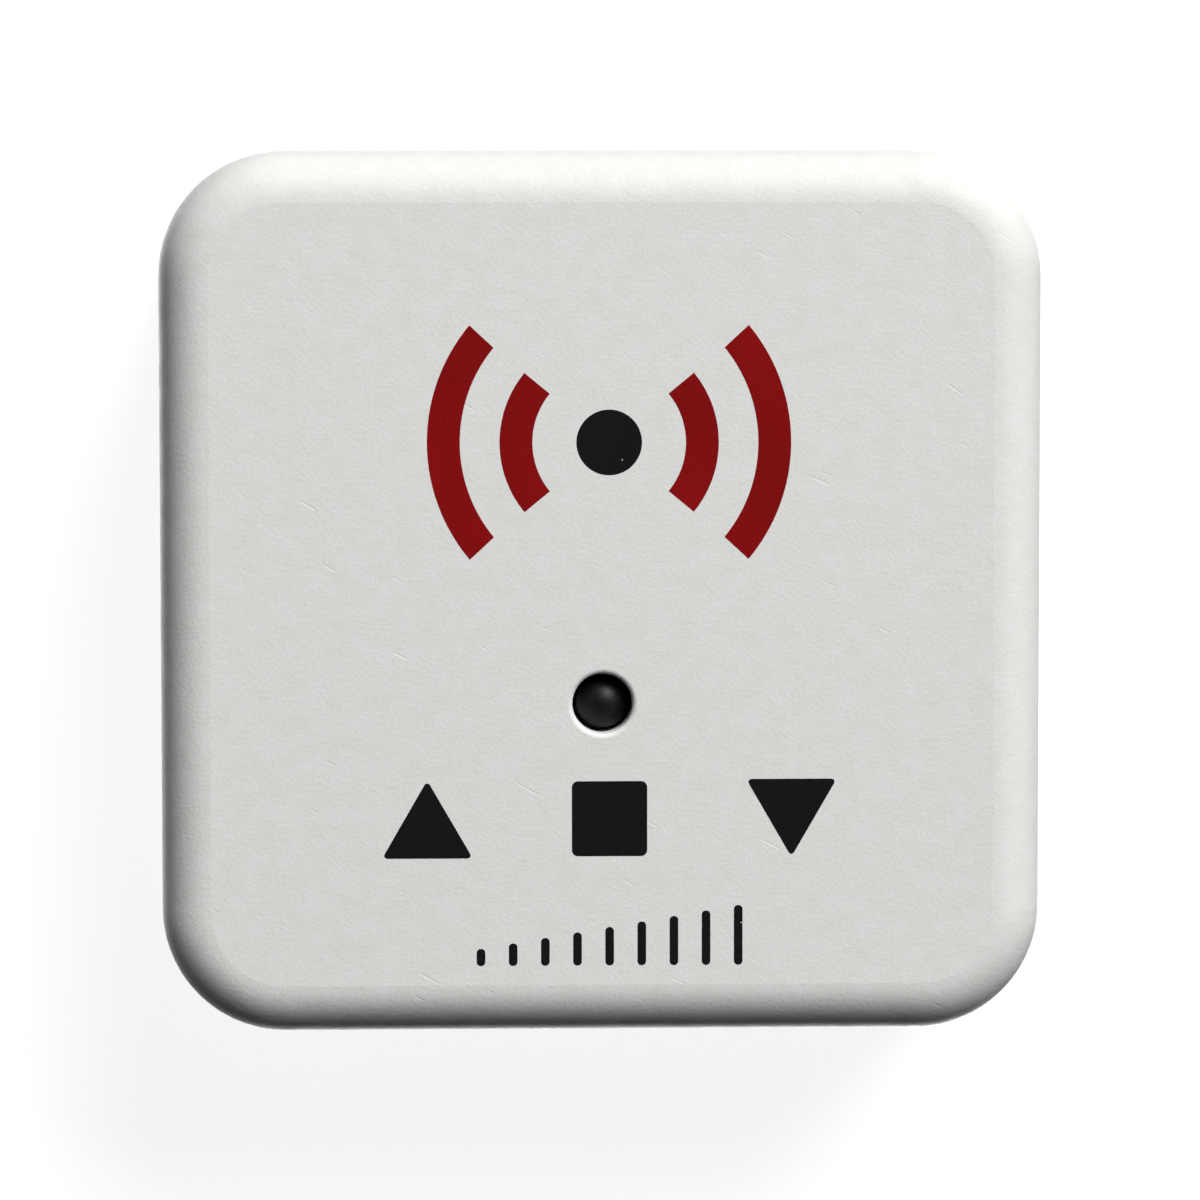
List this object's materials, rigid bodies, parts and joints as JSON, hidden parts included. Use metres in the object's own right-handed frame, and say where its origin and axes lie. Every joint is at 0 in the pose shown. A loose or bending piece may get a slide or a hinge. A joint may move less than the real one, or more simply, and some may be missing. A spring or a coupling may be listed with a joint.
{
  "type": "garage door controller",
  "caption": "Small square white radio controller for a gate or garage door, with rolled front edges, a recessed dome button and a rising-cage terminal block in its lower side.",
  "frame": {"origin": "centre of the flat back face that lies on the wall", "axes": "+Z out of the front face, +Y up and +X right as the front is looked at; wires enter from -Y"},
  "size_m": [0.052, 0.052, 0.02],
  "materials": {
    "case_white": "fine spark texture, matt",
    "screw_steel": "zinc plated",
    "board_green": "green solder mask",
    "terminal_green": "green moulded nylon",
    "brass": "tin-washed brass",
    "plated_steel": "nickel plated",
    "smoked_plastic": "smoked, polished",
    "black_plastic": "moulded epoxy, matt",
    "spring_metal": "spring bronze",
    "tinned_leads": "tinned",
    "white_resin": "white resin",
    "copper": "enamelled copper",
    "relay_blue": "blue moulded cover",
    "bobbin_plastic": "natural nylon",
    "soft_iron": "soft iron",
    "can_sleeve": "drawn aluminium",
    "seal_rubber": "black rubber",
    "ferrite": "ferrite",
    "varistor_coat": "dipped epoxy",
    "chip_ceramic": "fired ceramic"
  },
  "bodies": {
    "housing": {"back_cover": "case_white", "bridge_rectifier": "black_plastic", "capacitor_leads": "tinned_leads", "capacitor_seals": "seal_rubber", "case_screws": "screw_steel", "chip_capacitors": "chip_ceramic", "chip_legs": "tinned_leads", "chip_resistors": "black_plastic", "diodes": "black_plastic", "front_cover": "case_white", "fuse": "white_resin", "inductor_core": "ferrite", "inductor_winding": "copper", "large_capacitor": "can_sleeve", "main_board": "board_green", "optocoupler": "white_resin", "radio_antenna": "copper", "radio_board": "board_green", "radio_shield": "plated_steel", "regulator_chip": "black_plastic", "relay_base": "black_plastic", "relay_bobbin": "bobbin_plastic", "relay_case": "relay_blue", "relay_contacts": "spring_metal", "relay_pins": "tinned_leads", "relay_winding": "copper", "relay_yoke": "soft_iron", "small_capacitor": "can_sleeve", "status_led": "white_resin", "switch_base": "black_plastic", "switch_dome": "spring_metal", "switch_legs": "tinned_leads", "switch_plate": "plated_steel", "terminal_bars": "brass", "terminal_block": "terminal_green", "transistors": "black_plastic", "varistor": "varistor_coat", "varistor_leads": "tinned_leads"},
    "button": {"status_button": "smoked_plastic", "switch_plunger": "black_plastic"},
    "armature": {"relay_armature": "soft_iron", "relay_blade": "spring_metal"},
    "screw_1": {"clamp_screw_1": "screw_steel"},
    "cage_1": {"clamp_cage_1": "plated_steel"},
    "screw_2": {"clamp_screw_2": "screw_steel"},
    "cage_2": {"clamp_cage_2": "plated_steel"},
    "screw_3": {"clamp_screw_3": "screw_steel"},
    "cage_3": {"clamp_cage_3": "plated_steel"},
    "screw_4": {"clamp_screw_4": "screw_steel"},
    "cage_4": {"clamp_cage_4": "plated_steel"},
    "screw_5": {"clamp_screw_5": "screw_steel"},
    "cage_5": {"clamp_cage_5": "plated_steel"},
    "screw_6": {"clamp_screw_6": "screw_steel"},
    "cage_6": {"clamp_cage_6": "plated_steel"}
  },
  "joints": [
    {"name": "button_press", "type": "slide", "parent": "housing", "child": "button", "axis": [0, 0, -1], "range_m": [0, 0.00025], "stiffness_N_per_m": 2000, "deforming": ["switch_dome"]},
    {"name": "armature_tip", "type": "hinge", "parent": "housing", "child": "armature", "pos_m": [-0.0122, -0.01125, 0.00475], "axis": [0, -1, 0], "range_deg": [0, 3.4], "stiffness_Nm_per_rad": 0.01},
    {"name": "clamp_screw_1_turn", "type": "hinge", "parent": "housing", "child": "screw_1", "pos_m": [-0.0125, -0.0212, 0.005], "axis": [0, 0, 1], "range_deg": [0, 1440]},
    {"name": "clamp_cage_1_rise", "type": "slide", "parent": "housing", "child": "cage_1", "axis": [0, 0, -1], "range_m": [0, 0.0018]},
    {"name": "clamp_screw_2_turn", "type": "hinge", "parent": "housing", "child": "screw_2", "pos_m": [-0.0075, -0.0212, 0.005], "axis": [0, 0, 1], "range_deg": [0, 1440]},
    {"name": "clamp_cage_2_rise", "type": "slide", "parent": "housing", "child": "cage_2", "axis": [0, 0, -1], "range_m": [0, 0.0018]},
    {"name": "clamp_screw_3_turn", "type": "hinge", "parent": "housing", "child": "screw_3", "pos_m": [-0.0025, -0.0212, 0.005], "axis": [0, 0, 1], "range_deg": [0, 1440]},
    {"name": "clamp_cage_3_rise", "type": "slide", "parent": "housing", "child": "cage_3", "axis": [0, 0, -1], "range_m": [0, 0.0018]},
    {"name": "clamp_screw_4_turn", "type": "hinge", "parent": "housing", "child": "screw_4", "pos_m": [0.0025, -0.0212, 0.005], "axis": [0, 0, 1], "range_deg": [0, 1440]},
    {"name": "clamp_cage_4_rise", "type": "slide", "parent": "housing", "child": "cage_4", "axis": [0, 0, -1], "range_m": [0, 0.0018]},
    {"name": "clamp_screw_5_turn", "type": "hinge", "parent": "housing", "child": "screw_5", "pos_m": [0.0075, -0.0212, 0.005], "axis": [0, 0, 1], "range_deg": [0, 1440]},
    {"name": "clamp_cage_5_rise", "type": "slide", "parent": "housing", "child": "cage_5", "axis": [0, 0, -1], "range_m": [0, 0.0018]},
    {"name": "clamp_screw_6_turn", "type": "hinge", "parent": "housing", "child": "screw_6", "pos_m": [0.0125, -0.0212, 0.005], "axis": [0, 0, 1], "range_deg": [0, 1440]},
    {"name": "clamp_cage_6_rise", "type": "slide", "parent": "housing", "child": "cage_6", "axis": [0, 0, -1], "range_m": [0, 0.0018]}
  ],
  "couplings": [
    {"joint": "clamp_screw_1_turn", "follows": "clamp_cage_1_rise", "rad_per_m": 13962},
    {"joint": "clamp_screw_2_turn", "follows": "clamp_cage_2_rise", "rad_per_m": 13962},
    {"joint": "clamp_screw_3_turn", "follows": "clamp_cage_3_rise", "rad_per_m": 13962},
    {"joint": "clamp_screw_4_turn", "follows": "clamp_cage_4_rise", "rad_per_m": 13962},
    {"joint": "clamp_screw_5_turn", "follows": "clamp_cage_5_rise", "rad_per_m": 13962},
    {"joint": "clamp_screw_6_turn", "follows": "clamp_cage_6_rise", "rad_per_m": 13962}
  ]
}
